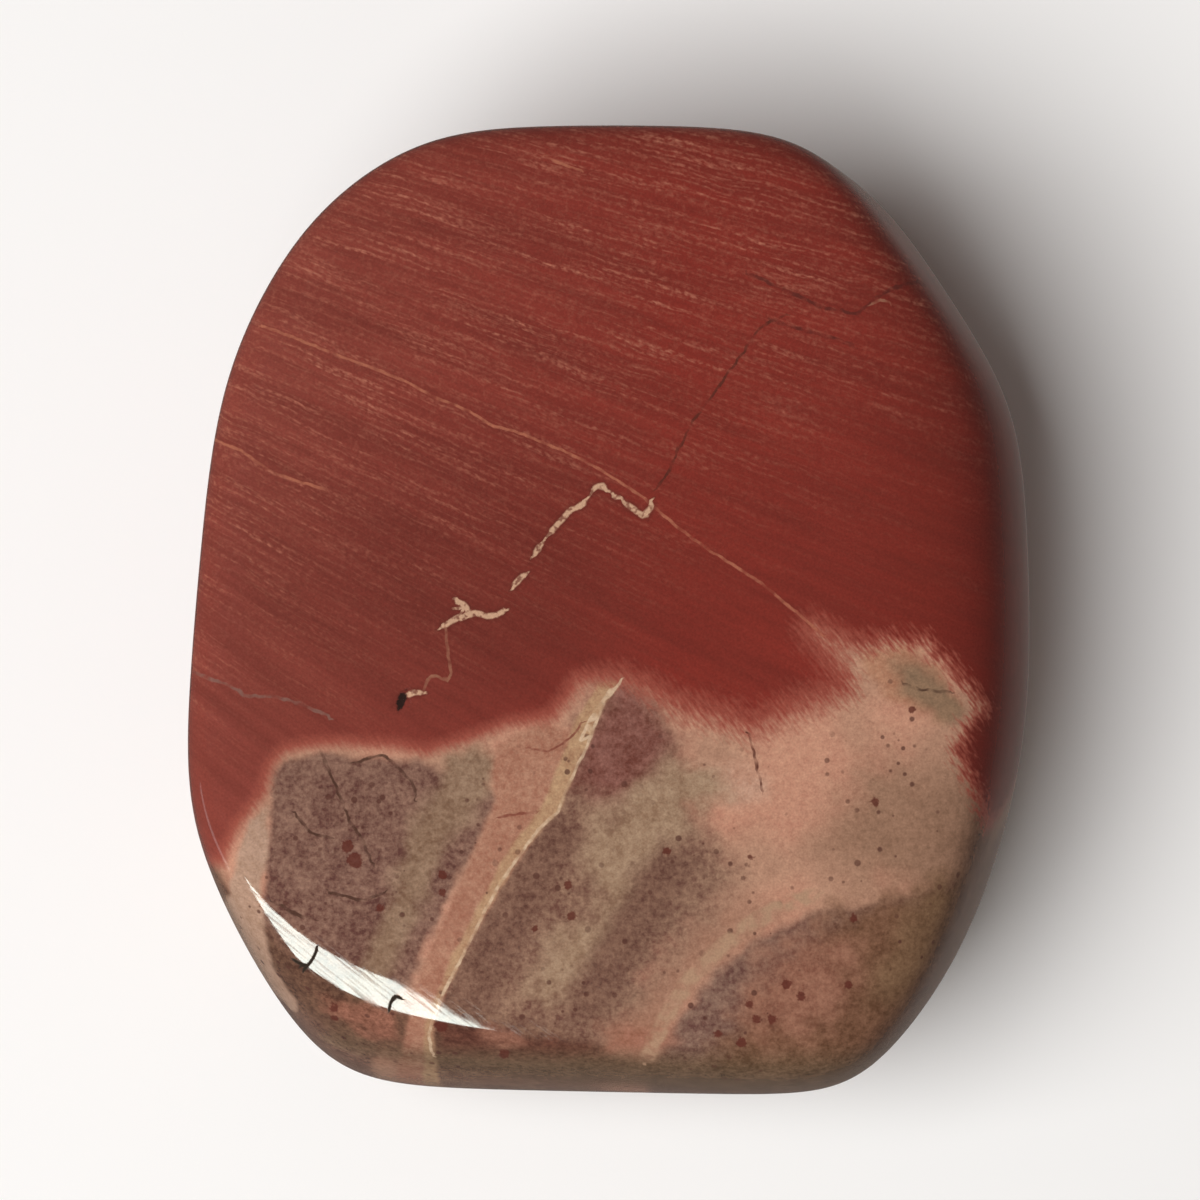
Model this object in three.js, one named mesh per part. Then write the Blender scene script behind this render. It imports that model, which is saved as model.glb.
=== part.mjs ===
// A tumbled red jasper, lying on its flat side. Millimetres, +Z up, the origin in the middle of
// the underside. Seen from above, +X is the right and +Y the far end of the stone.
//
// The stone is one solid piece. It broke off the rock as a flat chunk with straight sides, and
// tumbling wore those sides to shallow faces that run into each other over round edges. Each
// worn face is kept here as a direction and a distance from the middle of the chunk.
import * as THREE from "three";
import { mergeVertices } from "three/addons/utils/BufferGeometryUtils.js";

// Overall size
const LENGTH = 31.9; // along Y
const WIDTH = 27.8; // along X
const THICKNESS = 13.9; // from the flat spot to the top of the broad face

// How square the stone is where its faces meet: a higher number gives a tighter edge
const SIDE_EDGES = 22;
const TOP_EDGES = 10.4;
const BASE_EDGES = 7;
const NEAR_SHOULDER_EDGES = 7.7;
const RIGHT_SHOULDER_EDGES = 10;
const UNDERSIDE_EDGES = 8;

// How far below the middle of the chunk the belly lies, and the flat spot that cuts off its lowest bit
const BELLY_DEPTH = 7.4;
const FLAT_SPOT_DEPTH = 7.3;

// The surface is a ball of triangles pushed out to the worn faces
const BALL_DETAIL = 20;

const STONE_COLOUR = 0x80332c;
const STONE_ROUGHNESS = 0.18;

// azimuth turns from +X towards +Y, and rise is how far the face looks up, both in degrees
function wornFace(azimuth, rise, distance, squareness) {
  const turn = THREE.MathUtils.degToRad(azimuth);
  const lift = THREE.MathUtils.degToRad(rise);
  const normal = new THREE.Vector3(
    Math.cos(lift) * Math.cos(turn),
    Math.cos(lift) * Math.sin(turn),
    Math.sin(lift),
  );
  return { normal, distance, squareness };
}

const BROAD_FACE = wornFace(0, 90, 6.6, TOP_EDGES);
const BELLY = wornFace(0, -90, BELLY_DEPTH, BASE_EDGES);

// The sides, anticlockwise as seen from above. The near and right ones lean outwards on their
// way down, and the far and left ones lean in under the broad face.
const SIDES = [
  wornFace(2, 10, 14.1, SIDE_EDGES), // right
  wornFace(35, 8, 15.25, SIDE_EDGES), // far right
  wornFace(62, 3, 17.4, SIDE_EDGES), // far right corner
  wornFace(90, -4, 15.5, SIDE_EDGES), // far end
  wornFace(124, -5, 16.0, SIDE_EDGES), // far left
  wornFace(152, -6, 14.4, SIDE_EDGES), // left, towards the far end
  wornFace(175, -7, 12.8, SIDE_EDGES), // left
  wornFace(206, 4, 16.15, SIDE_EDGES), // near left
  wornFace(229, 7.4, 18.05, SIDE_EDGES), // near left corner
  wornFace(268, 10.9, 16.05, SIDE_EDGES), // near end
  wornFace(318, 9, 17.0, SIDE_EDGES), // near right
  wornFace(341, 9, 14.85, SIDE_EDGES), // right, towards the near end
];

// Where tumbling wore the upper edge down more than elsewhere
const SHOULDERS = [
  wornFace(249.5, 47.6, 14.0, NEAR_SHOULDER_EDGES), // near end, towards the left
  wornFace(0, 48, 13.2, RIGHT_SHOULDER_EDGES), // right
];

// The slanted faces between the sides and the flat spot
const UNDERSIDE = [
  wornFace(5, -42, 12.6, UNDERSIDE_EDGES), // right
  wornFace(110, -40, 13.2, UNDERSIDE_EDGES), // far
  wornFace(190, -38, 13.0, UNDERSIDE_EDGES), // left
  wornFace(280, -44, 13.2, UNDERSIDE_EDGES), // near
];

const WORN_FACES = [BROAD_FACE, BELLY, ...SIDES, ...SHOULDERS, ...UNDERSIDE];

// The search for the surface starts between the middle and this distance
const FARTHEST = 40;
const HALVINGS = 45;

// 1 on the surface, less inside and more outside
function fullness(direction, reach) {
  return WORN_FACES.reduce((sum, face) => {
    const share = Math.max(0, (face.normal.dot(direction) * reach) / face.distance);
    return sum + share ** face.squareness;
  }, 0);
}

// How far the surface is from the middle in a direction, found by halving
function reachOf(direction) {
  let near = 0;
  let far = FARTHEST;
  for (let i = 0; i < HALVINGS; i += 1) {
    const middle = (near + far) / 2;
    if (fullness(direction, middle) > 1) {
      far = middle;
    } else {
      near = middle;
    }
  }
  return direction.z < 0 ? Math.min(near, -FLAT_SPOT_DEPTH / direction.z) : near;
}

// Triangles of like size all over: the ball is first pressed to the stone's proportions
function surface() {
  const ball = new THREE.IcosahedronGeometry(1, BALL_DETAIL);
  ball.deleteAttribute("normal");
  ball.deleteAttribute("uv");
  const geometry = mergeVertices(ball, 1e-6);
  const points = geometry.getAttribute("position");
  const direction = new THREE.Vector3();
  for (let i = 0; i < points.count; i += 1) {
    direction.fromBufferAttribute(points, i);
    direction.multiply(new THREE.Vector3(WIDTH, LENGTH, THICKNESS)).normalize();
    direction.multiplyScalar(reachOf(direction));
    points.setXYZ(i, direction.x, direction.y, direction.z);
  }
  return geometry;
}

// Brings the worn chunk to its overall size, with the flat spot at the bottom
function fitted(geometry) {
  geometry.computeBoundingBox();
  const size = geometry.boundingBox.getSize(new THREE.Vector3());
  const middle = geometry.boundingBox.getCenter(new THREE.Vector3());
  geometry.translate(-middle.x, -middle.y, -geometry.boundingBox.min.z);
  geometry.scale(WIDTH / size.x, LENGTH / size.y, THICKNESS / size.z);
  return geometry;
}

function stone() {
  const geometry = fitted(surface());
  geometry.computeVertexNormals();
  const material = new THREE.MeshStandardMaterial({
    color: STONE_COLOUR,
    roughness: STONE_ROUGHNESS,
    metalness: 0,
  });
  const mesh = new THREE.Mesh(geometry, material);
  mesh.name = "stone";
  return mesh;
}

const part = new THREE.Group();
part.add(stone());

export default part;
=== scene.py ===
# %% [markdown]
# # A tumbled red jasper
# Jasper is quartz in grains far too small to see, coloured by iron. This one is mostly brick red, with
# fine paler layers, and at the near end the red stops at a feathery edge and gives way to pink, tan and
# purple-grey rock. The stone was rolled with grit and then polished, so it is smooth and glossy all over.
#
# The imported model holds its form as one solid. Here the same form is made again with a finer surface,
# because a gloss shows every flat triangle, and all of the colour is painted by rules in the material.

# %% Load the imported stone
import math

import bpy
import numpy as np
from mathutils import Matrix, Vector, noise
from mathutils.bvhtree import BVHTree


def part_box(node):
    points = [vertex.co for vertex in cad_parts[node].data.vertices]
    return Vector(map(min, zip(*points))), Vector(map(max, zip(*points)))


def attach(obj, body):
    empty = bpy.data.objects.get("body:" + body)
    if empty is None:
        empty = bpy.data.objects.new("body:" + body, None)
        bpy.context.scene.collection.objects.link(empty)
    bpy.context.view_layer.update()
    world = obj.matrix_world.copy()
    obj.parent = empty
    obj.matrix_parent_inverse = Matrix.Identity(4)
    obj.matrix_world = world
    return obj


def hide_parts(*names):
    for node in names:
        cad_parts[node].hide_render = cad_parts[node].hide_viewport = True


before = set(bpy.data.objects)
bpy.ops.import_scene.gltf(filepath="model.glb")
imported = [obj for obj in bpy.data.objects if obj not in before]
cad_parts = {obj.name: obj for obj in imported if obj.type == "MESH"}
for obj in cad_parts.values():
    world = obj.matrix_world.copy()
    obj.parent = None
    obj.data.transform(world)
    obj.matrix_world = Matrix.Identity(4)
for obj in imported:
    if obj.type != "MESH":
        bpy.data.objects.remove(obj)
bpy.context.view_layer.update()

scene = bpy.context.scene
cad_low, cad_high = (np.array(corner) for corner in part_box("stone"))
MM = 0.001
WIDTH, LENGTH, THICKNESS = (cad_high - cad_low) / MM
print("the packed stone measures", round(WIDTH, 2), round(LENGTH, 2), round(THICKNESS, 2), "mm")

# %% [markdown]
# ## The worn faces
# The form comes from the same rule as the solid. Tumbling wears a chunk of rock to shallow faces, each
# a direction and a distance from the middle, and a high power joins them over round edges. A smoothed
# cage would give a pebble too, but with one rule for both, the fine surface stays within a tenth of a
# millimetre of the solid.

# %% The faces and the rule that joins them
FACES = [  # azimuth and rise in degrees, distance in mm, squareness of its edges
    (0, 90, 6.6, 10.4), (0, -90, 7.4, 7),
    (2, 10, 14.1, 22), (35, 8, 15.25, 22), (62, 3, 17.4, 22), (90, -4, 15.5, 22),
    (124, -5, 16.0, 22), (152, -6, 14.4, 22), (175, -7, 12.8, 22), (206, 4, 16.15, 22),
    (229, 7.4, 18.05, 22), (268, 10.9, 16.05, 22), (318, 9, 17.0, 22), (341, 9, 14.85, 22),
    (249.5, 47.6, 14.0, 7.7), (0, 48, 13.2, 10),
    (5, -42, 12.6, 8), (110, -40, 13.2, 8), (190, -38, 13.0, 8), (280, -44, 13.2, 8),
]
FLAT_SPOT_DEPTH = 7.3
FARTHEST = 40.0
HALVINGS = 32


def heading(azimuth, rise):
    """The unit vector that points along an azimuth and rises above the level, both in degrees."""
    turn, lift = np.radians(azimuth), np.radians(rise)
    return np.stack([np.cos(lift) * np.cos(turn), np.cos(lift) * np.sin(turn), np.sin(lift)], axis=-1)


def reach(directions):
    """How far the stone's surface is from its middle along each direction, in mm, by halving."""
    azimuth, rise, distance, squareness = np.array(FACES, dtype=float).T
    shares = np.maximum(directions @ heading(azimuth, rise).T, 0.0) / distance
    near, far = np.zeros(len(directions)), np.full(len(directions), FARTHEST)
    for _ in range(HALVINGS):
        middle = (near + far) / 2
        outside = ((middle[:, None] * shares) ** squareness).sum(axis=1) > 1
        far = np.where(outside, middle, far)
        near = np.where(outside, near, middle)
    flat_spot = FLAT_SPOT_DEPTH / np.maximum(-directions[:, 2], 1e-6)
    return np.where(directions[:, 2] < 0, np.minimum(near, flat_spot), near)


print("reach to the right, the far end and the top:", reach(np.eye(3)).round(2), "mm")

# %% [markdown]
# ## A fine, even mesh
# A grid of small squares is laid over the six sides of a box, welded, and pushed out to the worn
# faces. A ball of squares would do, but on a flat stone its cells bunch up. A box of the stone's own
# proportions keeps the cells about a fifth of a millimetre everywhere.

# %% Lay the grid over the box and push it out
CELL = 0.19
counts = [round(size / CELL) for size in (WIDTH, LENGTH, THICKNESS)]


def box_side(axis, level):
    """The grid squares of one side of the box, as whole-number corners that face outwards."""
    first, second = [other for other in range(3) if other != axis]
    i, j = np.meshgrid(np.arange(counts[first]), np.arange(counts[second]), indexing="ij")
    corners = np.full(i.shape + (4, 3), level)
    for number, (step_i, step_j) in enumerate(((0, 0), (1, 0), (1, 1), (0, 1))):
        corners[..., number, first] = i + step_i
        corners[..., number, second] = j + step_j
    squares = corners.reshape(-1, 4, 3)
    return squares if (level > 0) != (axis == 1) else squares[:, ::-1]


squares = np.concatenate([box_side(axis, level) for axis in range(3) for level in (0, counts[axis])])
lattice, corner_of = np.unique(squares.reshape(-1, 3), axis=0, return_inverse=True)
quads = corner_of.reshape(-1, 4)

directions = (2 * lattice / counts - 1) * (WIDTH, LENGTH, THICKNESS)
directions /= np.linalg.norm(directions, axis=1)[:, None]
points = directions * reach(directions)[:, None]
low, high = points.min(axis=0), points.max(axis=0)
points = (points - low) / (high - low) * (cad_high - cad_low) / MM + cad_low / MM
print(len(points), "points,", 2 * len(quads), "triangles")

# %% [markdown]
# ## Where each point meets the pattern
# The colours go right through the rock, so they aren't wrapped around the stone like paper. The broad
# face is a map of them. A point below it looks up a place on that map that slides with the depth,
# because the layers dip, and that strays a little more the deeper it lies, because they aren't flat.

# %% Slide and stray with the depth
TOP = cad_high[2] / MM
DIP = np.array([0.14, 0.33])  # mm that the map slides over X and Y per mm of depth
STRAY = 1.5  # mm at the underside
STRAY_SIZE = 9.0  # mm from one bulge of a layer to the next
RIM = 2.5  # mm below the top that the map still holds as it was drawn
SEED = 1  # without one, the vector noise would change at every run

depth = TOP - points[:, 2]
below_rim = np.maximum(depth - RIM, 0)[:, None]
noise.seed_set(SEED)
sway = np.array([noise.noise_vector(Vector(point) / STRAY_SIZE) for point in points])
spots = points[:, :2] - below_rim * DIP + STRAY * below_rim / (TOP - RIM) * sway[:, :2]
print("the deepest point looks up a place", round(float(np.abs(spots - points[:, :2]).max()), 1), "mm away")

# %% [markdown]
# ## Measures of outlines and lines
# The colours need to know how far each point is from the areas and lines of the map. Nodes could work
# that out too, a few for every segment, but that makes thousands. So it is measured here once for every
# point of the mesh, and the material only reads the numbers. They are in mm, so an edge can be given a
# blur of a real width.

# %% Measure to an outline, or to a line
def segments(path, closed):
    """The straight pieces of a path, as pairs of ends."""
    ends = np.array(path, dtype=float)
    following = np.roll(ends, -1, axis=0)
    return list(zip(ends, following)) if closed else list(zip(ends[:-1], following[:-1]))


def off_segment(start, end):
    """For every spot, the distance to a segment, which side it is on, and how far along it."""
    run = end - start
    length = np.linalg.norm(run)
    share = np.clip((spots - start) @ run / length**2, 0, 1)
    away = spots - start - share[:, None] * run
    side = run[0] * (spots - start)[:, 1] - run[1] * (spots - start)[:, 0]
    return np.linalg.norm(away, axis=1), np.where(side < 0, -1.0, 1.0), share * length


def into_area(outline):
    """How far inside an outline each spot is, in mm, below zero outside."""
    nearest = np.full(len(spots), np.inf)
    inside = np.zeros(len(spots), dtype=bool)
    for start, end in segments(outline, closed=True):
        nearest = np.minimum(nearest, off_segment(start, end)[0])
        spans = (start[1] > spots[:, 1]) != (end[1] > spots[:, 1])
        with np.errstate(divide="ignore", invalid="ignore"):
            crossing = start[0] + (spots[:, 1] - start[1]) * (end[0] - start[0]) / (end[1] - start[1])
        inside ^= spans & (spots[:, 0] < crossing)
    return np.where(inside, nearest, -nearest)


def off_lines(lines):
    """Across, away from and along the nearest of some lines, in mm. Across changes sign at the line."""
    best = np.full((len(spots), 3), np.inf)
    for line in lines:
        travelled = 0.0
        for start, end in segments(line, closed=False):
            distance, side, along = off_segment(start, end)
            closer = distance < best[:, 1]
            found = np.stack([side * distance, distance, travelled + along], axis=1)
            best = np.where(closer[:, None], found, best)
            travelled += np.linalg.norm(end - start)
    return best


print("outlines and lines will be measured from", len(spots), "spots")

# %% [markdown]
# ## The map of the broad face
# Each area and line is an outline drawn in millimetres from the middle of the stone, with no
# more points than its corners need. The material roughens and blurs them, so they stay simple here.

# %% Areas of the map
PALE = [
    (-13.3, -8.1), (-12.8, -8.0), (-12.3, -6.9), (-11.4, -5.7), (-11.2, -4.9), (-10.8, -4.4), (-10.1, -4.2),
    (-8.9, -4.1), (-7.1, -4.2), (-6.1, -4.4), (-4.8, -4.0), (-3.5, -3.5), (-2.1, -3.3), (-1.6, -2.7),
    (-1.2, -2.1), (-0.7, -2.0), (0.2, -2.0), (1.1, -2.4), (2.2, -3.0), (3.8, -3.4), (4.4, -3.6), (5.0, -3.4),
    (5.8, -3.0), (6.9, -2.6), (7.6, -2.4), (7.4, -1.8), (6.9, -1.1), (6.4, -0.5), (7.4, -0.9), (8.2, -1.0),
    (8.9, -0.8), (10.0, -0.9), (11.0, -1.8), (12.0, -3.0), (11.4, -3.6), (11.1, -4.3), (11.4, -5.1),
    (12.0, -6.4), (12.3, -7.0), (13.8, -7.3), (20.0, -7.6), (20.0, -26.0), (-22.0, -26.0), (-22.0, -8.3),
]
LEFT_BLOCK = [
    (-11.1, -5.2), (-10.8, -4.7), (-9.5, -4.5), (-6.5, -4.7), (-4.6, -5.3), (-3.8, -5.9), (-4.1, -6.9),
    (-5.4, -9.1), (-6.2, -10.9), (-7.1, -12.7), (-7.6, -13.8), (-9.8, -20.0), (-13.4, -20.0), (-11.6, -13.0),
    (-11.5, -9.4), (-11.2, -7.1),
]
TAN_BAND = [
    (-3.5, -4.8), (-4.4, -6.0), (-4.9, -6.8), (-5.4, -7.4), (-5.9, -8.3), (-6.1, -9.2), (-6.7, -10.2),
    (-7.0, -11.0), (-8.6, -15.0), (-9.9, -15.0), (-8.2, -11.0), (-7.8, -10.3), (-7.4, -9.4), (-7.1, -8.6),
    (-6.9, -7.6), (-6.5, -6.7), (-5.9, -5.8), (-5.4, -4.6), (-4.4, -4.2),
]
PINK_BAND = [
    (-3.8, -4.2), (-4.0, -5.1), (-3.8, -6.0), (-4.8, -8.2), (-5.8, -10.4), (-6.6, -12.5), (-7.1, -14.7),
    (-9.6, -22.0), (-7.0, -22.0), (-6.0, -14.7), (-5.8, -13.0), (-5.1, -11.3), (-3.6, -8.6), (-2.4, -6.9),
    (-1.6, -5.5), (-1.0, -4.3), (-1.4, -3.7), (-2.4, -3.5),
]
OLIVE_STRIP = [
    (0.2, -2.1), (-0.5, -2.2), (-1.4, -3.7), (-2.2, -6.0), (-3.45, -7.6), (-4.5, -9.6), (-5.5, -11.6),
    (-6.15, -13.3), (-6.3, -15.0), (-8.6, -22.0), (-7.6, -22.0), (-5.9, -15.0), (-5.9, -13.0), (-5.2, -11.6),
    (-4.2, -9.6), (-3.1, -7.8), (-1.8, -6.3), (-1.2, -4.9), (-0.3, -2.8),
]
MIDDLE_BLOCK = [
    (0.2, -1.9), (-0.4, -2.3), (-1.5, -4.0), (-2.1, -5.2), (-2.4, -6.0), (-3.6, -7.5), (-4.7, -9.3),
    (-6.1, -12.1), (-6.5, -13.8), (-8.1, -22.0), (-2.0, -22.0), (-0.3, -14.4), (0.5, -13.2), (1.6, -11.4),
    (3.4, -9.4), (3.9, -8.3), (2.8, -6.5), (2.5, -5.3), (2.2, -4.1), (1.3, -3.0),
]
MIDDLE_TAN = [
    (1.9, -4.7), (0.8, -5.5), (-0.8, -7.0), (-1.0, -8.1), (-0.5, -9.0), (-0.6, -9.9), (-1.8, -10.2),
    (-2.7, -12.2), (-2.2, -12.7), (-0.5, -11.2), (0.8, -9.0), (1.8, -7.4), (2.6, -6.4), (3.5, -5.8),
    (3.4, -5.0), (2.7, -4.8),
]
LOWER_BLOCK = [
    (8.7, -9.3), (6.4, -9.7), (5.0, -10.3), (3.6, -11.3), (2.4, -12.7), (1.5, -14.0), (0.6, -16.7),
    (-1.0, -22.0), (22.0, -24.0), (22.0, -8.4), (12.5, -8.2), (9.9, -9.0),
]
LOWER_TAN = [
    (7.5, -9.5), (6.6, -10.2), (5.9, -11.6), (4.4, -13.1), (3.3, -13.9), (2.4, -16.7), (1.6, -22.0),
    (22.0, -24.0), (22.0, -8.4), (12.5, -8.6), (9.2, -9.2),
]
# painted shade: a dark band along the lower right shoulder, where the surface turns away from the light
SHOULDER_SHADE = [
    (10.5, -8.6), (11.5, -8.7), (11.2, -10.2), (10.2, -11.8), (8.9, -12.8), (8.2, -12.5), (8.6, -11.3),
    (9.2, -10.4), (9.6, -9.2),
]
LEFT_CREAM = [
    (-11.2, -6.0), (-11.9, -6.8), (-12.4, -8.6), (-13.2, -10.5), (-12.4, -13.0), (-10.9, -14.0),
    (-10.5, -13.0), (-11.2, -11.5), (-11.5, -9.4), (-11.2, -7.1),
]
LOBE = [
    (8.2, -1.2), (9.4, -1.0), (10.5, -1.6), (11.2, -2.9), (10.5, -3.3), (9.1, -2.9), (8.2, -1.8),
]
LOBE_GREY = [(9.0, -1.5), (9.9, -1.5), (10.9, -2.4), (11.4, -3.3), (10.9, -3.5), (10.1, -3.1), (9.3, -2.5)]
# painted shade: the lower right of the broad face is coloured darker, where it turns away from the light
SHADED_CORNER = [(8.2, -4.6), (10.4, -5.0), (20.0, -5.0), (20.0, -12.0), (8.5, -8.8), (6.4, -7.6)]
PURPLE_APEX = [(0.2, -2.1), (-1.2, -4.4), (-1.6, -5.6), (0.2, -6.0), (1.3, -5.2), (1.9, -4.0), (1.2, -3.0)]
LOWER_PINK = [
    (4.8, -11.2), (6.0, -10.4), (7.4, -10.6), (7.8, -12.0), (6.8, -13.3), (4.9, -13.7), (4.1, -13.0),
]
CREAM_PATCH = [
    (1.8, -5.0), (2.6, -4.7), (3.8, -4.8), (4.9, -5.3), (5.0, -5.8), (4.1, -6.1), (2.8, -6.1), (1.8, -5.8),
]
NEAR_STREAK = [
    (-1.9, -6.3), (-3.0, -7.8), (-4.2, -9.8), (-5.5, -12.4), (-5.8, -13.6), (-4.4, -13.4), (-3.2, -11.0),
    (-1.9, -8.6), (-1.0, -7.0),
]
FAR_STREAK = [
    (1.6, -7.4), (2.6, -8.0), (1.8, -9.6), (0.7, -11.3), (-0.4, -13.1), (-1.7, -13.4), (-1.1, -11.7),
    (-0.1, -9.8), (0.7, -8.4),
]
DIAGONAL = [(4.1, -9.2), (5.7, -9.4), (2.9, -12.0), (1.5, -13.9), (-0.5, -13.6), (1.1, -11.6), (2.8, -10.0)]
SALMON_SIDE = [(-9.5, -12.3), (-7.1, -12.8), (-7.0, -14.1), (-8.2, -13.8), (-9.4, -12.9)]
PURPLE_FOOT = [
    (-5.8, -13.2), (-4.4, -13.3), (-2.7, -13.7), (-0.5, -13.8), (-0.2, -14.3), (-1.8, -14.5), (-4.0, -14.4),
    (-5.7, -14.5),
]
SALMON_SPOT = [(-4.4, -13.4), (-3.0, -13.6), (-2.9, -14.1), (-3.7, -14.1), (-4.3, -13.9)]
PINK_FOOT = [(-0.5, -13.4), (1.6, -13.1), (1.9, -13.9), (0.8, -14.3), (-0.2, -14.1)]

AREAS = {
    "pale": PALE, "left block": LEFT_BLOCK, "tan band": TAN_BAND, "pink band": PINK_BAND,
    "olive strip": OLIVE_STRIP, "middle block": MIDDLE_BLOCK, "middle tan": MIDDLE_TAN,
    "lower block": LOWER_BLOCK, "lower tan": LOWER_TAN, "shoulder shade": SHOULDER_SHADE,
    "left cream": LEFT_CREAM, "lobe": LOBE, "lobe grey": LOBE_GREY, "shaded corner": SHADED_CORNER,
    "near streak": NEAR_STREAK, "far streak": FAR_STREAK, "purple apex": PURPLE_APEX,
    "lower pink": LOWER_PINK, "cream patch": CREAM_PATCH, "diagonal": DIAGONAL, "salmon side": SALMON_SIDE,
    "purple foot": PURPLE_FOOT, "salmon spot": SALMON_SPOT, "pink foot": PINK_FOOT,
}
print(len(AREAS), "areas on the map")

# %% Lines of the map
PALE_LINES = [
    [
        (-11.4, 9.36), (-10.93, 9.19), (-9.12, 8.48), (-7.59, 7.9), (-6.59, 7.48), (-5.85, 7.06),
        (-4.71, 6.6), (-4.0, 6.15), (-3.16, 5.92), (-2.03, 5.47), (-0.99, 5.02), (0.08, 4.37), (0.98, 3.76),
        (2.02, 2.85), (3.05, 2.11), (4.61, 1.14), (6.0, 0.0), (6.71, -0.61),
    ],
    [(-14.5, 6.4), (-12.71, 5.57), (-12.06, 5.31), (-11.12, 4.63), (-10.18, 4.31), (-9.37, 4.08)],
    [(-2.19, 14.82), (-1.77, 14.63), (-1.12, 14.4)],
]
VEIN = [  # a row of beads
    [(-6.75, -2.62), (-6.56, -2.49), (-6.27, -2.52)],
    [(-5.56, -0.35), (-5.36, -0.26), (-5.07, -0.06)],
    [(-5.07, 0.42), (-4.91, 0.36), (-4.78, 0.2)],
    [(-4.81, -0.06), (-4.59, 0.1), (-4.13, -0.03), (-3.81, 0.0), (-3.61, 0.13)],
    [(-3.25, 0.96), (-3.1, 1.14), (-2.93, 1.3)],
    [(-2.6, 1.98), (-2.48, 2.14), (-2.4, 2.28)],
    [(-2.08, 2.66), (-1.9, 2.88), (-1.58, 3.27), (-1.32, 3.47), (-1.06, 3.53), (-0.97, 3.65)],
    [(-0.68, 4.04), (-0.57, 4.16), (-0.38, 4.18), (-0.3, 4.12)],
    [(0.02, 3.83), (0.08, 3.8)],
    [(0.42, 3.58), (0.63, 3.43), (0.98, 3.17), (1.14, 3.43), (1.2, 3.6)],
]
VEIN_THREADS = [
    [(-6.17, -2.39), (-6.04, -2.07), (-5.85, -1.91), (-5.65, -2.04), (-5.39, -2.13), (-5.3, -1.94)],
    [(-5.3, -1.84), (-5.36, -1.45), (-5.43, -0.97), (-5.46, -0.48)],
    [(8.33, 10.07), (8.65, 10.23), (8.85, 10.13)],
]
CREAM_LINE = [
    [
        (0.2, -2.13), (-0.35, -2.85), (-0.93, -4.33), (-1.51, -5.5), (-1.8, -6.31), (-2.51, -6.99),
        (-3.1, -7.8), (-3.71, -8.67), (-4.2, -9.58), (-4.68, -10.55), (-5.2, -11.55), (-5.59, -12.36),
        (-5.88, -13.04), (-6.07, -13.75), (-5.95, -14.5),
    ],
    [(-0.09, -2.36), (-0.73, -3.27), (-1.12, -4.04)],
]
RED_CRACKS = [
    [
        (5.51, 9.68), (5.12, 9.55), (4.61, 9.23), (4.09, 8.42), (3.57, 7.7), (3.05, 6.96), (2.53, 6.25),
        (2.15, 5.54), (1.92, 5.02), (1.73, 4.6), (1.37, 4.14),
    ],
    [(4.35, -3.88), (4.51, -4.43), (4.61, -4.95), (4.77, -5.63)],
]
ROSY_CRACKS = [
    [(-1.06, -3.52), (-1.58, -4.11), (-2.16, -4.43), (-2.74, -4.3)],
    [(-2.58, -6.37), (-3.13, -6.44), (-3.68, -6.53)],
]
CRACKS = [
    [(-9.47, -4.43), (-9.34, -4.88), (-9.08, -5.4), (-8.6, -6.63), (-8.18, -7.28), (-7.85, -7.99)],
    [(-8.44, -4.79), (-7.98, -4.66), (-7.43, -4.53), (-6.88, -5.08), (-6.53, -5.4), (-6.46, -5.86)],
    [(-10.31, -6.47), (-10.09, -6.76), (-9.89, -7.02), (-9.63, -7.15), (-9.25, -7.21)],
    [(-9.21, -8.99), (-8.57, -9.16), (-8.18, -9.29), (-7.53, -8.99)],
    [(-11.06, -9.32), (-10.51, -9.64), (-9.8, -9.87)],
    [(9.4, -2.23), (9.88, -2.42), (10.85, -2.49)],
]
DEEP_CRACKS = [
    [(-9.67, -10.84), (-9.8, -11.16), (-9.99, -11.42), (-10.12, -11.55)],
    [(-9.99, -11.42), (-10.22, -11.36), (-10.44, -11.23)],
    [(-7.34, -12.85), (-7.27, -12.52), (-7.14, -12.39), (-6.95, -12.46)],
]
GREY_CRACKS = [
    [
        (-13.65, -1.87), (-12.71, -2.2), (-12.16, -2.42), (-11.96, -2.62), (-11.06, -2.62), (-10.22, -2.85),
        (-9.25, -3.27),
    ],
]
BEIGE_RIM = [
    [
        (1.1, -14.3), (1.3, -13.8), (1.8, -12.8), (2.5, -11.7), (3.4, -10.8), (4.4, -10.0), (5.4, -9.4),
        (6.4, -9.1),
    ],
]
FAINT_CRACKS = [
    [(5.12, 9.55), (6.48, 9.13), (7.71, 8.74)],
    [(4.41, 11.04), (5.51, 10.52), (6.68, 9.97), (7.81, 9.74), (8.75, 10.49), (9.65, 10.78), (10.53, 10.97)],
]
LINES = {
    "pale lines": PALE_LINES, "vein": VEIN, "vein threads": VEIN_THREADS, "cream line": CREAM_LINE,
    "red cracks": RED_CRACKS, "rosy cracks": ROSY_CRACKS, "cracks": CRACKS, "deep cracks": DEEP_CRACKS,
    "grey cracks": GREY_CRACKS, "faint cracks": FAINT_CRACKS, "beige rim": BEIGE_RIM,
}
print(sum(len(lines) for lines in LINES.values()), "lines on the map")

# %% [markdown]
# ## The layers of the red part
# The paler layers run down to the right across the broad face, flatter at the far end and steeper
# towards the near end. Their level is found by a few rounds of the same step, each with the slope that
# belongs to the level found last.

# %% Level and run of the layers
SLOPE_AT_MIDDLE = 26.0  # degrees
SLOPE_CHANGE = -0.75  # degrees for each mm towards the far end
LEAST_SLOPE, MOST_SLOPE = 8.0, 42.0
ROUNDS = 8

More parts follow.
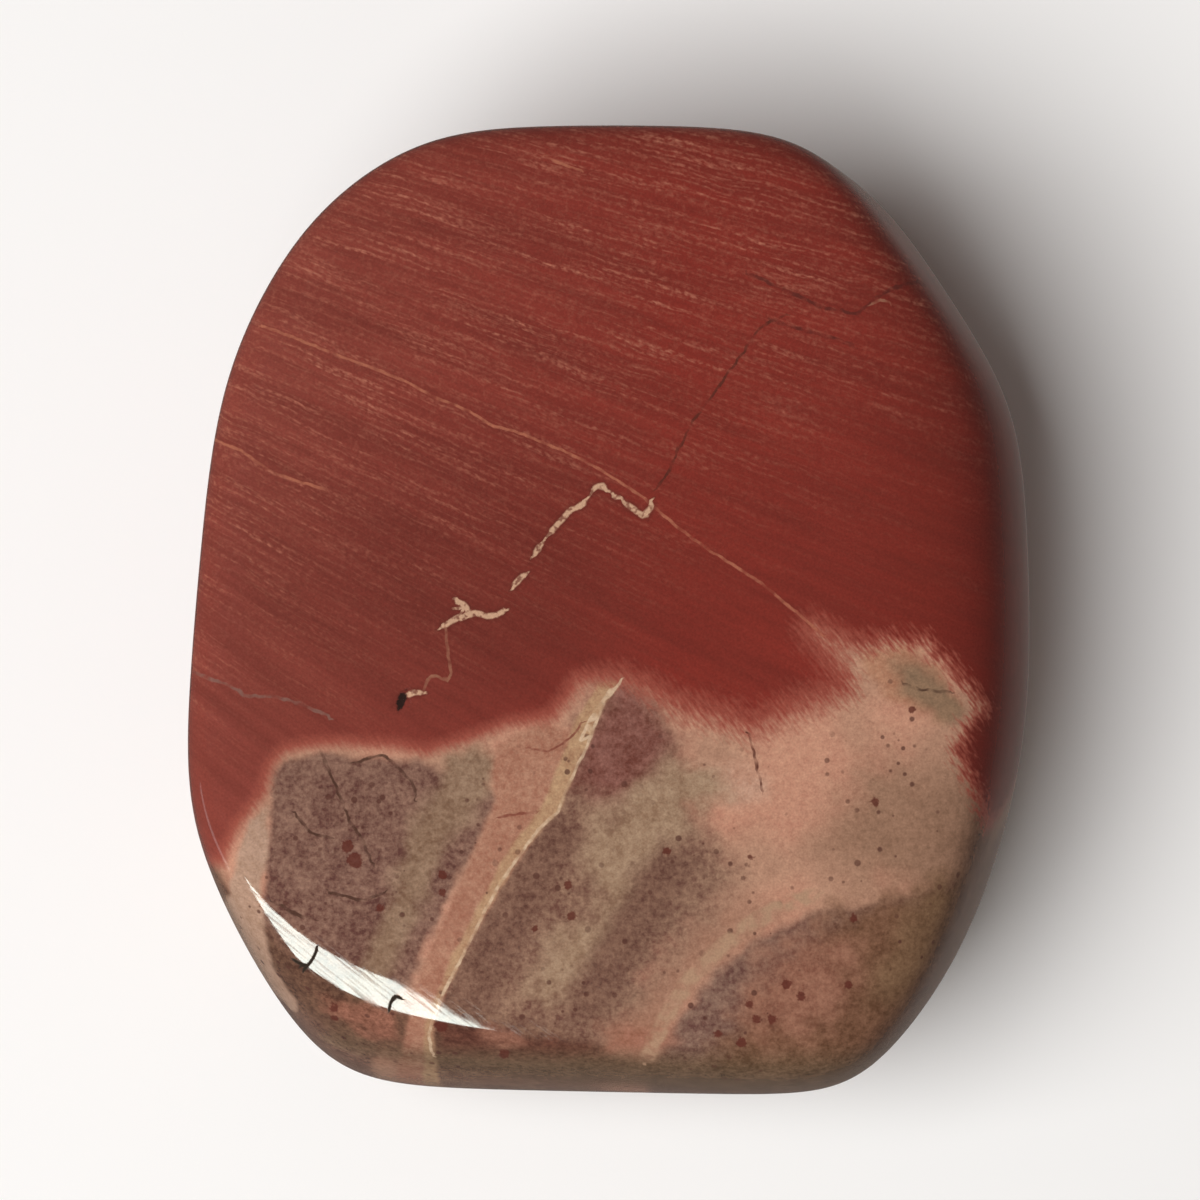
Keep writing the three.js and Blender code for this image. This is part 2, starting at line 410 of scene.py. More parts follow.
level = spots[:, 1].copy()
for _ in range(ROUNDS):
    slope = np.radians(np.clip(SLOPE_AT_MIDDLE + SLOPE_CHANGE * level, LEAST_SLOPE, MOST_SLOPE))
    level = spots[:, 1] + spots[:, 0] * np.tan(slope)
layers = np.stack([spots[:, 0] / np.cos(slope), level * np.cos(slope), depth], axis=1)
print("layer levels run from", round(float(level.min()), 1), "to", round(float(level.max()), 1), "mm")

# %% [markdown]
# ## A small pit
# Where the vein ends, a few grains fell out and left a pit too small for the polishing to reach. It is
# a real hollow in the mesh: the points near it are pushed in. The material also paints it nearly black,
# which is painted shade.

# %% Push the pit in
PIT = np.array([-6.9, -2.76])
PIT_TURN = math.radians(68)
PIT_SIZE = np.array([0.34, 0.14])  # mm, half its length and half its width
PIT_DEPTH = 0.22
NEAR_TOP = 1.0  # mm of depth, so that only the broad face gets the pit

turn_back = np.array([[math.cos(PIT_TURN), math.sin(PIT_TURN)], [-math.sin(PIT_TURN), math.cos(PIT_TURN)]])
from_pit = (points[:, :2] - PIT) @ turn_back.T / PIT_SIZE
hollow = np.clip(1 - (from_pit**2).sum(axis=1), 0, 1) * (depth < NEAR_TOP)
points[:, 2] -= PIT_DEPTH * hollow
print(int((hollow > 0).sum()), "points pushed in,", round(PIT_DEPTH * float(hollow.max()), 2), "mm at most")

# %% [markdown]
# ## The mesh and its measures
# Each area becomes one number per point and each kind of line becomes three, stored on the mesh under the
# name that the map gives it. A picture wrapped round the stone would need seams, and these need none. The
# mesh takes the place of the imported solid, so its distance from that solid is measured too.

# %% Make the mesh and give it its measures
mesh = bpy.data.meshes.new("polished_stone")
mesh.from_pydata((points * MM).tolist(), [], quads.tolist())
mesh.polygons.foreach_set("use_smooth", np.ones(len(quads), dtype=bool))
for name, outline in AREAS.items():
    measure = mesh.attributes.new(name, "FLOAT", "POINT")
    measure.data.foreach_set("value", into_area(outline).astype(np.float32))
vectors = {name: off_lines(lines) for name, lines in LINES.items()}
vectors["layers"] = layers
vectors["spot"] = np.column_stack([spots, depth])
vectors["pit"] = np.column_stack([from_pit, depth / 2])  # grows with the depth, so the pit's painted shade ends
for name, values in vectors.items():
    measure = mesh.attributes.new(name, "FLOAT_VECTOR", "POINT")
    measure.data.foreach_set("vector", values.astype(np.float32).ravel())
mesh.update()
mesh.validate()

stone = bpy.data.objects.new("polished_stone", mesh)
scene.collection.objects.link(stone)
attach(stone, "root")
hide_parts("stone")

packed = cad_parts["stone"].data
solid = BVHTree.FromPolygons([v.co for v in packed.vertices], [p.vertices for p in packed.polygons])
gaps = [solid.find_nearest(Vector(point * MM))[3] for point in points[::60]]
print("farthest from the packed solid:", round(max(gaps) / MM, 3), "mm")

# %% [markdown]
# ## Polished jasper
# The quartz takes a glassy polish, so the colour lies under a clear, sharp gloss: IOR 1.54 and a
# roughness near 0.05. The colour could be one painted picture, but rules keep it sharp at any distance
# and carry it round the sides. It is built in coats, from the widest to the finest. The red rock and the
# pale rock, with its blocks and bands, are each made whole and joined at a rosy fringe, and the specks,
# lines and cracks go over both. Each coat is a colour and a mask, and each mask is one of the measures
# above, roughened by noise.

# %% Colour and node helpers
def linear(code):
    """An sRGB hex colour as the linear values that the shader works with."""
    shares = [int(code[i:i + 2], 16) / 255 for i in (1, 3, 5)]
    return [s / 12.92 if s <= 0.04045 else ((s + 0.055) / 1.055) ** 2.4 for s in shares] + [1.0]


jasper = bpy.data.materials.new("polished_jasper")
jasper.use_nodes = True
tree = jasper.node_tree
tree.nodes.clear()


def add(kind, feeds=None, out=0, **settings):
    """Adds a node with its settings, feeds its inputs values or other outputs, and returns an output."""
    new = tree.nodes.new("ShaderNode" + kind)
    for name, value in settings.items():
        setattr(new, name, value)
    for socket, value in (feeds or {}).items():
        if isinstance(value, bpy.types.NodeSocket):
            tree.links.new(value, new.inputs[socket])
        else:
            new.inputs[socket].default_value = value
    return new.outputs[out] if new.outputs else new


COLOUR = {"data_type": "RGBA", "out": 2}  # a Mix node for colours: 0 is its share, 6 and 7 its colours
SMOOTH = {"interpolation_type": "SMOOTHSTEP"}
print("half grey, #808080, is only", round(linear("#808080")[0], 3), "in linear light")

# %% [markdown]
# ### Noise in real sizes
# The finest grain of the rock is far below a tenth of a millimetre. A picture of the whole stone can't
# hold that, so the finest noise is drawn at 0.07 mm. Every noise is given by the size of its grains in
# mm, in one of three places: the whole stone, the layers, or the spot on the map.

# %% Places, and noise in millimetres
whole_place = add("VectorMath", {0: add("TexCoord", out="Object"), "Scale": 1 / MM}, operation="SCALE")
layer_place = add("Attribute", out="Vector", attribute_name="layers")
spot_place = add("Attribute", out="Vector", attribute_name="spot")
flat_place = add("VectorMath", {0: spot_place, 1: (1.0, 1.0, 0.0)}, operation="MULTIPLY")
spot_x = add("SeparateXYZ", {0: spot_place}, out="X")
spot_depth = add("SeparateXYZ", {0: spot_place}, out="Z")
pale_depth = add("Attribute", out="Fac", attribute_name="pale")


def grains(place, size, stretch=(1, 1, 1), detail=1.0, rough=0.5):
    """Noise from 0 to 1 with grains of about size mm, stretched along the axes of a place in mm."""
    scaled = add("VectorMath", {0: place, 1: [1 / (size * s) for s in stretch]}, operation="MULTIPLY")
    return add("TexNoise", {"Vector": scaled, "Scale": 1.0, "Detail": detail, "Roughness": rough})


HAIR_TURN = math.radians(52)  # how far the hairs of the fringe lean
specks = grains(whole_place, 0.07)
crumbs = grains(whole_place, 0.2, detail=2.0, rough=0.7)
blotches = grains(whole_place, 0.8)
clouds = grains(whole_place, 3.5)
hair_place = add("VectorRotate", {"Vector": spot_place, "Angle": HAIR_TURN}, rotation_type="Z_AXIS")
hairs = grains(hair_place, 0.1, stretch=(4, 1, 3), detail=2.0)
print("grains from 0.07 mm to 3.5 mm")


# %% [markdown]
# ### Ragged areas and drawn lines
# A mask says how much of a coat shows, from 0 to 1. An area's mask rises across its outline, which noise
# pushes in and out, because no edge in rock is as smooth as a drawn one. A line's mask is a stroke of a
# real width. Noise bends it and opens gaps in it, and it fades out at a given depth.

# %% Masks for areas and lines
def ragged(area, start, end, wander, noise_field):
    """0 to 1 from start to end mm inside an area of the map, whose outline noise moves by up to wander mm."""
    inside = add("Attribute", out="Fac", attribute_name=area)
    moved = add("Math", {0: noise_field, 1: wander * 2, 2: inside}, operation="MULTIPLY_ADD")
    return add("MapRange", {0: moved, 1: wander + start, 2: wander + end}, **SMOOTH)


def drawn(lines, width, waver, gaps, down_to):
    """1 on lines of the map that are width mm wide. They waver, have gaps, and end at a depth in mm."""
    measures = add("Attribute", out="Vector", attribute_name=lines)
    wave = add("Math", {0: grains(whole_place, 0.3), 1: waver * 2, 2: -waver}, operation="MULTIPLY_ADD")
    across = add("Math", {0: add("SeparateXYZ", {0: measures}, out="X"), 1: wave}, operation="ADD")
    across = add("Math", {0: across}, operation="ABSOLUTE")
    edge = {0: across, 1: width * 0.3, 2: width * 0.7, 3: 1.0, 4: 0.0}
    # Across changes sign beyond the ends of a line too, so a stroke has to be near its line as well.
    reach_out = width / 2 + waver + 0.02
    near = {0: add("SeparateXYZ", {0: measures}, out="Y"), 1: reach_out, 2: reach_out + 0.1, 3: 1.0, 4: 0.0}
    shallow = {0: spot_depth, 1: down_to / 2, 2: down_to, 3: 1.0, 4: 0.0}
    shown = gaps
    for limits in (edge, near, shallow):
        shown = add("Math", {0: shown, 1: add("MapRange", limits, **SMOOTH)}, operation="MULTIPLY")
    return shown


print(len(tree.nodes), "nodes for places and noise")

# %% [markdown]
# ### The red rock
# Brick red, dustier at the left, purer in the middle and deeper at the right, in thin beds that are a
# little darker or not. Left of the middle is a wide dusky patch.

# %% The red rock
DUSTY_RED, PURE_RED, DEEP_RED, DARK_RED = "#863f35", "#822e25", "#6c231b", "#56221c"
REDS_FROM_LEFT = ((PURE_RED, -11.0, 2.0), (DEEP_RED, 7.0, 12.5))  # with the X in mm where each comes in
DUSK, DUSK_STRETCH = (-5.0, 1.2, 0.0), (1.0, 1.5, 0.0)  # the patch's middle in mm, and how it is pressed

red = linear(DUSTY_RED)
for code, start, end in REDS_FROM_LEFT:
    reached = add("MapRange", {0: spot_x, 1: start, 2: end})
    red = add("Mix", {0: reached, 6: red, 7: linear(code)}, **COLOUR)
beds = grains(layer_place, 0.4, stretch=(12, 1, 5), detail=3.0, rough=0.6)
broad_beds = grains(layer_place, 1.3, stretch=(7, 1, 4))
from_dusk = add("VectorMath", {0: flat_place, 1: DUSK}, operation="SUBTRACT")
from_dusk = add("VectorMath", {0: from_dusk, 1: DUSK_STRETCH}, operation="MULTIPLY")
from_dusk = add("VectorMath", {0: from_dusk}, out="Value", operation="LENGTH")
SHADES = ((beds, 0.6, 0.3, 0.28), (broad_beds, 0.6, 0.3, 0.25), (from_dusk, 9.0, 3.0, 0.34))
for field, start, end, amount in SHADES:
    darker = add("MapRange", {0: field, 1: start, 2: end, 3: 0.0, 4: amount})
    red = add("Mix", {0: darker, 6: red, 7: linear(DARK_RED)}, **COLOUR)
print("red rock from", DUSTY_RED, "to", DEEP_RED)

# %% [markdown]
# ### Pale threads in the red
# Pale orange grains lie along the beds in threads a tenth of a millimetre thick. The threads swing a
# little, break up, and come in swarms with pale dust between them, most of all in the upper left half.
# Noise that is drawn out along the beds makes long lines, and a second noise with short grains breaks
# them. Short grains alone would look like fur.

# %% Threads and dust
THREAD = "#ad6a56"
THREAD_WIDTH, BREAK_WIDTH = 0.13, 0.11  # mm
SWING = 0.26  # mm that a thread may stray from its bed, from side to side
TO_UPPER_LEFT = (-0.35, 0.94, 0.0)

swing = grains(layer_place, 1.0, stretch=(1.5, 1, 1))
swing = add("CombineXYZ", {"Y": add("Math", {0: swing, 1: SWING}, operation="MULTIPLY")})
wavy_place = add("VectorMath", {0: layer_place, 1: swing}, operation="ADD")
threads = grains(wavy_place, THREAD_WIDTH, stretch=(30, 1, 9), detail=2.0)
threads = add("MapRange", {0: threads, 1: 0.45, 2: 0.73})
broken = grains(wavy_place, BREAK_WIDTH, stretch=(1.8, 1, 1.5))
broken = add("MapRange", {0: broken, 1: 0.38, 2: 0.75, 3: 0.05, 4: 1.6})
swarms = add("MapRange", {0: grains(layer_place, 1.1, stretch=(5, 1, 3)), 1: 0.35, 2: 0.65, 3: 0.35, 4: 1.0})
to_upper_left = add("VectorMath", {0: spot_place, 1: TO_UPPER_LEFT}, out="Value", operation="DOT_PRODUCT")
to_upper_left = add("MapRange", {0: to_upper_left, 1: -1.0, 2: 9.0, 3: 0.06, 4: 0.85})
for share in (broken, swarms):
    threads = add("Math", {0: threads, 1: share}, operation="MULTIPLY")
dust = add("MapRange", {0: crumbs, 1: 0.52, 2: 0.8, 3: 0.0, 4: 0.3})
threads = add("Math", {0: threads, 1: dust}, operation="ADD")
threads = add("Math", {0: threads, 1: to_upper_left}, operation="MULTIPLY", use_clamp=True)
red = add("Mix", {0: threads, 6: red, 7: linear(THREAD)}, **COLOUR)
print("threads", THREAD_WIDTH, "mm thick in", THREAD)

# %% [markdown]
# ### The pale rock
# Where the iron is gone the rock is pink, with clouds of a sandier tan. Every colour in it comes as a
# pair, and goes in crumbs from the darker to the lighter, because one flat colour would look like paint.

# %% The pale rock
PINK_GRAINS, SAND_GRAINS = ("#b5806a", "#c9967c"), ("#9f7d66", "#b58e75")

crumbly = add("Math", {0: blotches, 1: 0.5, 2: crumbs}, operation="MULTIPLY_ADD")
crumbly = add("MapRange", {0: crumbly, 1: 0.52, 2: 0.98})


def grainy(darker_grains, lighter_grains):
    """A colour that goes in crumbs from one hex colour to another."""
    return add("Mix", {0: crumbly, 6: linear(darker_grains), 7: linear(lighter_grains)}, **COLOUR)


sandy = add("MapRange", {0: clouds, 1: 0.45, 2: 0.6, 3: 0.0, 4: 0.6})
pale = add("Mix", {0: sandy, 6: grainy(*PINK_GRAINS), 7: grainy(*SAND_GRAINS)}, **COLOUR)
print("pale rock", *PINK_GRAINS, "and", *SAND_GRAINS)

# %% [markdown]
# ### Blocks, bands, the brown rim and painted shade
# Broken blocks of purple-grey rock lie in the pale rock, with tan streaks in them. Two coats in the list of
# blocks are painted shade, not rock: the shaded corner and the shoulder shade at the lower right, where the
# surface turns away from the light. Salmon and cream bands run between them towards the near end. Each is
# one coat, in the order of the list, so a band cuts what lies before it. Just under the near edge the rock
# is darker and browner, partly its own browner colour and partly painted shade of the sides, which turn
# away from the light. That coat goes between the blocks and the bands, and clears again lower down the
# side, where the blocks show.

# %% Blocks, painted shade, the brown and shaded rim, and bands
BLOCKS = [  # area, darker and lighter grains, blur and wander of its edge in mm
    ("cream patch", "#ae8069", "#c69c85", 0.9, 0.4),
    ("diagonal", "#966c57", "#ae826b", 1.0, 0.4),
    # the shaded corner is painted shade, not rock
    ("shaded corner", "#886651", "#a17b64", 2.4, 0.8),
    ("middle block", "#6b473c", "#9b7963", 1.6, 0.7),
    ("purple apex", "#68392f", "#8f6055", 1.1, 0.5),
    ("middle tan", "#8c6d56", "#ab8e74", 1.2, 0.7),
    ("near streak", "#5f3e34", "#8b6856", 0.7, 0.4),
    ("far streak", "#5d3c33", "#876553", 1.0, 0.5),
    ("lower block", "#63413a", "#917261", 0.4, 0.25),
    ("lower tan", "#61412e", "#855f49", 1.4, 0.8),
    ("lower pink", "#7e5040", "#9d6f5a", 2.0, 0.9),
    # the shoulder shade is painted shade, not rock
    ("shoulder shade", "#6b4e38", "#86664c", 1.2, 0.5),
    ("left block", "#5e3b34", "#93705f", 0.4, 0.3),
    ("tan band", "#785a46", "#9d8069", 0.7, 0.4),
]
BANDS = [
    ("pink band", "#9a6551", "#b4856d", 0.25, 0.15),
    ("olive strip", "#a37a5d", "#bc9875", 0.2, 0.12),
    ("left cream", "#a07f69", "#b89681", 0.25, 0.2),
    ("lobe", "#a06c53", "#b7876b", 0.6, 0.4),
    ("lobe grey", "#806650", "#98785e", 0.6, 0.35),
    ("salmon side", "#704636", "#a16c58", 0.6, 0.5),
    ("purple foot", "#4d2a22", "#74493a", 0.6, 0.4),
    ("salmon spot", "#764b3b", "#986956", 0.6, 0.4),
    ("pink foot", "#8c5b47", "#a87460", 0.9, 0.5),
]


def coated(under, area, darker_grains, lighter_grains, blur, wander):
    """A colour with the coat of one area over it."""
    mask = ragged(area, -blur / 2, blur / 2, wander, blotches)
    return add("Mix", {0: mask, 6: under, 7: grainy(darker_grains, lighter_grains)}, **COLOUR)


SIDE_BROWN_AND_SHADE, FOOT_GRAINS = ("#4a3024", "#75533f"), ("#57432f", "#7a624c")

for row in BLOCKS:
    pale = coated(pale, *row)
# browner rock and painted shade: from just under the edge the pale rock is coloured brown down the sides,
# partly its own colour and partly painted shade of sides that turn from the light
cleared = add("MapRange", {0: spot_depth, 1: 2.6, 2: 5.0, 3: 1.0, 4: 0.15}, **SMOOTH)
side_brown_and_shade = add("MapRange", {0: spot_depth, 1: 0.7, 2: 1.5, 3: 0.0, 4: 0.85})
side_brown_and_shade = add("Math", {0: side_brown_and_shade, 1: cleared}, operation="MULTIPLY")
pale = add("Mix", {0: side_brown_and_shade, 6: pale, 7: grainy(*SIDE_BROWN_AND_SHADE)}, **COLOUR)
for row in BANDS:
    pale = coated(pale, *row)
spot_y = add("SeparateXYZ", {0: spot_place}, out="Y")
at_foot = add("MapRange", {0: spot_y, 1: -13.9, 2: -14.7, 3: 0.0, 4: 0.75})
at_foot = add("Math", {0: at_foot, 1: cleared}, operation="MULTIPLY")
pale = add("Mix", {0: at_foot, 6: pale, 7: grainy(*FOOT_GRAINS)}, **COLOUR)
print(len(BLOCKS) + len(BANDS), "blocks and bands painted")

# %% [markdown]
# ### Where the red meets the pale
# The red ends in hairs that run into the pale rock over a rosy fringe. It is short and calm at the left,
# and wide and frayed at the right. The measure of how far a point is inside the pale area is moved by
# long thin noise, and divided by how soft the edge is there.

# %% The fringe
ROSE = "#9a5042"

softness = add("MapRange", {0: spot_x, 1: -3.0, 2: 3.0, 3: 0.45, 4: 1.0})
at_lobe = add("MapRange", {0: spot_x, 1: 7.0, 2: 8.8, 3: 1.0, 4: 0.5})
softness = add("Math", {0: softness, 1: at_lobe}, operation="MULTIPLY")
frayed = add("MapRange", {0: spot_x, 1: -3.0, 2: 3.0, 3: 0.3, 4: 1.4})
from_middle = add("Math", {0: hairs, 1: 0.5}, operation="SUBTRACT")
frayed_depth = add("Math", {0: from_middle, 1: frayed, 2: pale_depth}, operation="MULTIPLY_ADD")
into_pale = add("Math", {0: frayed_depth, 1: softness}, operation="DIVIDE")
rosy = add("MapRange", {0: into_pale, 1: -1.0, 2: 0.2}, **SMOOTH)
bleached = add("MapRange", {0: into_pale, 1: -0.2, 2: 0.9}, **SMOOTH)
colour = add("Mix", {0: rosy, 6: red, 7: linear(ROSE)}, **COLOUR)
colour = add("Mix", {0: bleached, 6: colour, 7: pale}, **COLOUR)
print("red and pale meet over", ROSE)

# %% [markdown]
# ### Iron specks
# The pale rock is peppered with grains of dark red iron oxide. The ones that stand out, up to half a
# millimetre across, are placed one by one. The fine pepper, up to a fifth of a millimetre, comes from a
# pattern of cells, each with a speck in its middle or none.

# %% Specks
SPECKS = [  # x, y and radius in mm
    (9.62, -3.07, 0.11), (8.42, -6.05, 0.12), (5.58, -11.97, 0.14), (6.03, -12.33, 0.15),
    (7.58, -11.97, 0.12), (4.61, -13.1, 0.13), (5.09, -13.1, 0.13), (4.12, -13.85, 0.16),
    (3.34, -13.59, 0.13), (7.73, -9.8, 0.11), (4.35, -12.62, 0.1), (-1.51, -8.74, 0.13),
    (-1.38, -9.74, 0.15), (1.7, -7.65, 0.12), (4.4, -7.83, 0.1), (-8.66, -7.5, 0.2),
    (-8.42, -7.95, 0.24), (-5.56, -8.41, 0.13), (-5.56, -8.99, 0.11), (-7.6, -9.5, 0.12),
    (-9.18, -12.85, 0.13), (-9.18, -13.23, 0.12), (-5.65, -13.4, 0.2), (-3.61, -14.33, 0.16),
    (-2.58, -10.13, 0.1),
]
IRON, FINE_IRON = "#5d2b22", "#55322a"
PEPPER_CELL = 0.42  # mm
FAR_OFF = 9.0  # mm, farther than any speck

off_speck = FAR_OFF
for x, y, radius in SPECKS:
    away = add("VectorMath", {0: flat_place, 1: (x, y, 0.0)}, out="Value", operation="DISTANCE")
    away = add("Math", {0: away, 1: radius}, operation="SUBTRACT")
    off_speck = add("Math", {0: away, 1: off_speck}, operation="MINIMUM")
off_speck = add("Math", {0: crumbs, 1: 0.25, 2: off_speck}, operation="MULTIPLY_ADD")
speck = add("MapRange", {0: off_speck, 1: 0.09, 2: 0.17, 3: 0.85, 4: 0.0}, **SMOOTH)
colour = add("Mix", {0: speck, 6: colour, 7: linear(IRON)}, **COLOUR)

cells = add("VectorMath", {0: whole_place, "Scale": 1 / PEPPER_CELL}, operation="SCALE")
to_middle = add("TexVoronoi", {"Vector": cells, "Scale": 1.0}, out="Distance")
which_cell = add("TexVoronoi", {"Vector": cells, "Scale": 1.0}, out="Color")
size_of_speck = add("MapRange", {0: which_cell, 1: 0.25, 2: 0.8, 3: 0.0, 4: 0.26})
pepper = add("Math", {0: size_of_speck, 1: to_middle}, operation="SUBTRACT")
pepper = add("MapRange", {0: pepper, 1: -0.03, 2: 0.05, 3: 0.0, 4: 0.8})
peppered = add("MapRange", {0: pale_depth, 1: 0.6, 2: 1.6})
thinned = add("MapRange", {0: grains(whole_place, 2.5), 1: 0.38, 2: 0.56})
for share in (peppered, thinned):
    pepper = add("Math", {0: pepper, 1: share}, operation="MULTIPLY")
colour = add("Mix", {0: pepper, 6: colour, 7: linear(FINE_IRON)}, **COLOUR)
print(len(SPECKS), "specks placed")

# %% [markdown]
# ### Lines, vein and cracks
# A pale vein crosses the red as a row of beads in a darker halo, and ends at the pit. Thin lines follow
# the beds, and healed cracks cross them. They are drawn as strokes of a real width that waver, and most
# of them fade in places. The deep cracks come last, because the gloss needs their mask too.

# %% Draw the strokes
faded = add("MapRange", {0: grains(whole_place, 0.35), 1: 0.35, 2: 0.6, 3: 0.15, 4: 0.9})
beaded = add("MapRange", {0: grains(whole_place, 0.16), 1: 0.36, 2: 0.5, 3: 0.25, 4: 1.0})
STROKES = [  # lines, colour, width and waver in mm, how much shows, depth in mm at which they end
    ("beige rim", "#ae8b70", 0.5, 0.08, faded, 14.0),
    ("pale lines", "#a8654e", 0.09, 0.05, faded, 9.0),
    ("cream line", "#d3b698", 0.1, 0.05, faded, 14.0),
    ("faint cracks", "#5a2620", 0.12, 0.08, faded, 3.0),
    ("red cracks", "#55281f", 0.09, 0.08, faded, 3.0),
    ("rosy cracks", "#81483a", 0.08, 0.08, faded, 3.0),
    ("grey cracks", "#805a50", 0.11, 0.08, faded, 3.0),
    ("cracks", "#4a3026", 0.1, 0.08, faded, 3.0),
    ("vein", "#5a261e", 0.34, 0.04, 0.45, 3.0),
    ("vein", "#c79f82", 0.17, 0.05, beaded, 3.0),
    ("vein threads", "#96644f", 0.09, 0.05, faded, 3.0),
    ("deep cracks", "#332b24", 0.11, 0.02, 1.0, 4.0),
]
for lines, code, width, waver, gaps, down_to in STROKES:
    stroke = drawn(lines, width, waver, gaps, down_to)
    colour = add("Mix", {0: stroke, 6: colour, 7: linear(code)}, **COLOUR)
crack = stroke  # the last stroke is the deep cracks

# painted shade: the pit is coloured nearly black, the shade that fills the hollow
PIT_SHADE = "#2a1a16"
pit_place = add("Attribute", out="Vector", attribute_name="pit")
to_pit = add("VectorMath", {0: pit_place}, out="Value", operation="LENGTH")
to_pit = add("Math", {0: crumbs, 1: 1.6, 2: to_pit}, operation="MULTIPLY_ADD")
pit = add("MapRange", {0: to_pit, 1: 1.5, 2: 2.0, 3: 1.0, 4: 0.0}, **SMOOTH)
colour = add("Mix", {0: pit, 6: colour, 7: linear(PIT_SHADE)}, **COLOUR)
print(len(STROKES), "kinds of line drawn")

# %% [markdown]
# ### Grain and gloss
# All over the stone is a fine sugar of lighter and darker grains. The polish is sharp. Two things dull
# it: the deep cracks, and hairlines left by the tumbling, which cross the mirror image of the window as
# thin grey lines. The hairlines are drawn only in the left half, where that image is seen from above.

# %% Grain, shader and bump
shade = add("MapRange", {0: specks, 1: 0.2, 2: 0.8, 3: 0.86, 4: 1.14})
colour = add("VectorMath", {0: colour, "Scale": shade}, operation="SCALE")

hairlines = add("MapRange", {0: grains(layer_place, 0.07, stretch=(24, 1, 8)), 1: 0.54, 2: 0.68})
near_window = add("MapRange", {0: spot_x, 1: -2.0, 2: 2.0, 3: 1.0, 4: 0.0})
hairlines = add("Math", {0: hairlines, 1: near_window}, operation="MULTIPLY")
roughened = add("MapRange", {0: hairlines, 3: 0.05, 4: 0.16})
gloss = add("Math", {0: crack, 1: 0.3, 2: roughened}, operation="MULTIPLY_ADD")
dull = add("MapRange", {0: hairlines, 3: 0.5, 4: 0.3})
mirror = add("Math", {0: crack, 1: -0.5, 2: dull}, operation="MULTIPLY_ADD", use_clamp=True)
RIPPLE_HEIGHT = 0.004 * MM
ripple = grains(whole_place, 1.4)
bumps = add("Bump", {"Strength": 1.0, "Distance": RIPPLE_HEIGHT, "Height": ripple})

QUARTZ_IOR = 1.54
finish = {"Roughness": gloss, "IOR": QUARTZ_IOR, "Specular IOR Level": mirror, "Normal": bumps}
skin = add("BsdfPrincipled", {"Base Color": colour, **finish})
add("OutputMaterial", {"Surface": skin})
mesh.materials.append(jasper)
print("polished jasper uses", len(tree.nodes), "nodes")

# %% [markdown]
# ## Floor and light
# The stone lies on a plain pale floor under a broad soft lamp, high up at the left, in a dim, warm
# room. A window low at the near left, a little greenish, shows as a white crescent in the worn shoulder
# there, and a pale wall beside it gives the left side a faint sheen. The window counts as a mirror
# image only, and leaves the lighting to the broad lamp. With the lamp it is the other way round, because
# its image would draw a line along every edge. The floor is left out of the gloss too. Nothing bright is
# overhead, so the flat top shows its colour and no glare.

# %% The floor
FLOOR_SIZE = 1.2  # metres
FLOOR_PAINT = "#fafaf9"
half = FLOOR_SIZE / 2
floor_mesh = bpy.data.meshes.new("floor")
floor_corners = [(-half, -half, 0), (half, -half, 0), (half, half, 0), (-half, half, 0)]
floor_mesh.from_pydata(floor_corners, [], [(0, 1, 2, 3)])
floor = bpy.data.objects.new("floor", floor_mesh)
scene.collection.objects.link(floor)
floor.visible_glossy = False
matt = bpy.data.materials.new("floor_paint")
matt.use_nodes = True
paint = matt.node_tree.nodes["Principled BSDF"]
paint.inputs["Base Color"].default_value = linear(FLOOR_PAINT)
paint.inputs["Roughness"].default_value = 0.9
paint.inputs["Specular IOR Level"].default_value = 0.1
floor_mesh.materials.append(matt)
print("floor", FLOOR_SIZE, "m square")


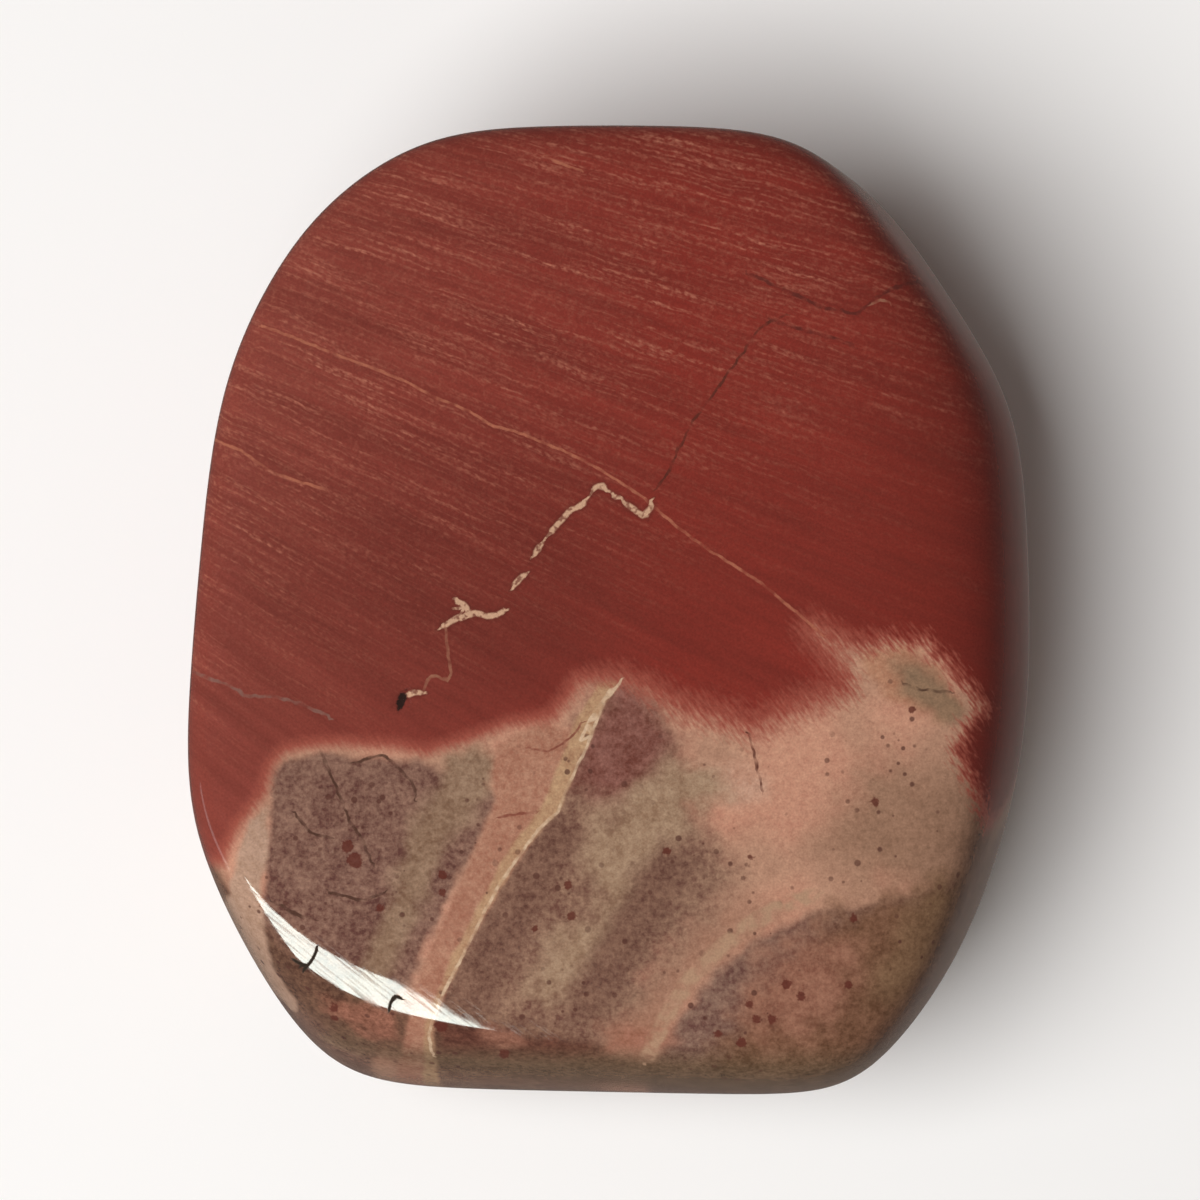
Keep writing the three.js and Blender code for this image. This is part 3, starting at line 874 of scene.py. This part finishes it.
# %% The lights
def softbox(name, azimuth, rise, size, glow, away=0.5, roll=0.0):
    """A flat lamp of a size in metres that faces the stone. At glow 1 it looks as bright as pure white."""
    lamp = bpy.data.lights.new(name, "AREA")
    lamp.shape = "RECTANGLE"
    lamp.size, lamp.size_y = size
    lamp.energy = glow * math.pi * size[0] * size[1]
    holder = bpy.data.objects.new(name, lamp)
    scene.collection.objects.link(holder)
    way = Vector(heading(azimuth, rise))
    sideways = Vector((-math.sin(math.radians(azimuth)), math.cos(math.radians(azimuth)), 0))
    upwards = way.cross(sideways)
    tilt = math.radians(roll)
    first = math.cos(tilt) * sideways + math.sin(tilt) * upwards
    second = way.cross(first)
    holder.matrix_world = Matrix((first, second, way)).transposed().to_4x4()
    holder.location = way * away + Vector((0, 0, THICKNESS * MM))
    return holder


WINDOW_TINT, ROOM_TINT = "#eefaf2", "#f7e6dc"
ROOM_GLOW = 0.15
room_light = softbox("room_light", 200, 62, (0.35, 0.35), 7.2)
room_light.visible_glossy = False
window = softbox("window", 240.5, 23.3, (0.2, 0.255), 18.5, roll=17.6)
window.visible_diffuse = False
window.data.color = linear(WINDOW_TINT)[:3]
softbox("pale_wall", 205, 8, (0.2, 0.06), 1.5)
world = bpy.data.worlds.new("dim_room")
scene.world = world
world.use_nodes = True
world.node_tree.nodes["Background"].inputs["Color"].default_value = linear(ROOM_TINT)
world.node_tree.nodes["Background"].inputs["Strength"].default_value = ROOM_GLOW
scene.view_settings.view_transform = "Standard"
print("window", [round(c, 2) for c in window.location], "m")

# %% [markdown]
# ## The camera
# It looks straight down on the broad face through a long lens. The lens is what keeps the sides of the
# stone nearly out of sight, and the frame takes in 40 mm at the widest part of the stone.

# %% Place the camera
LENS = 200.0
SENSOR = 36.0
AIM = (-0.475, 0.488)  # mm, the X and Y in the middle of the picture
FRAME_WIDTH = 40.0  # mm that the picture takes in at the widest part of the stone
WIDEST_AT = 7.4  # mm above the floor
camera = bpy.data.cameras.new("camera")
camera.lens = LENS
camera.sensor_width = SENSOR
camera.clip_start = 0.01
eye = bpy.data.objects.new("camera", camera)
eye.location = Vector((*AIM, WIDEST_AT + FRAME_WIDTH * LENS / SENSOR)) * MM
scene.collection.objects.link(eye)
scene.camera = eye
print("camera", [round(c / MM, 1) for c in eye.location], "mm")
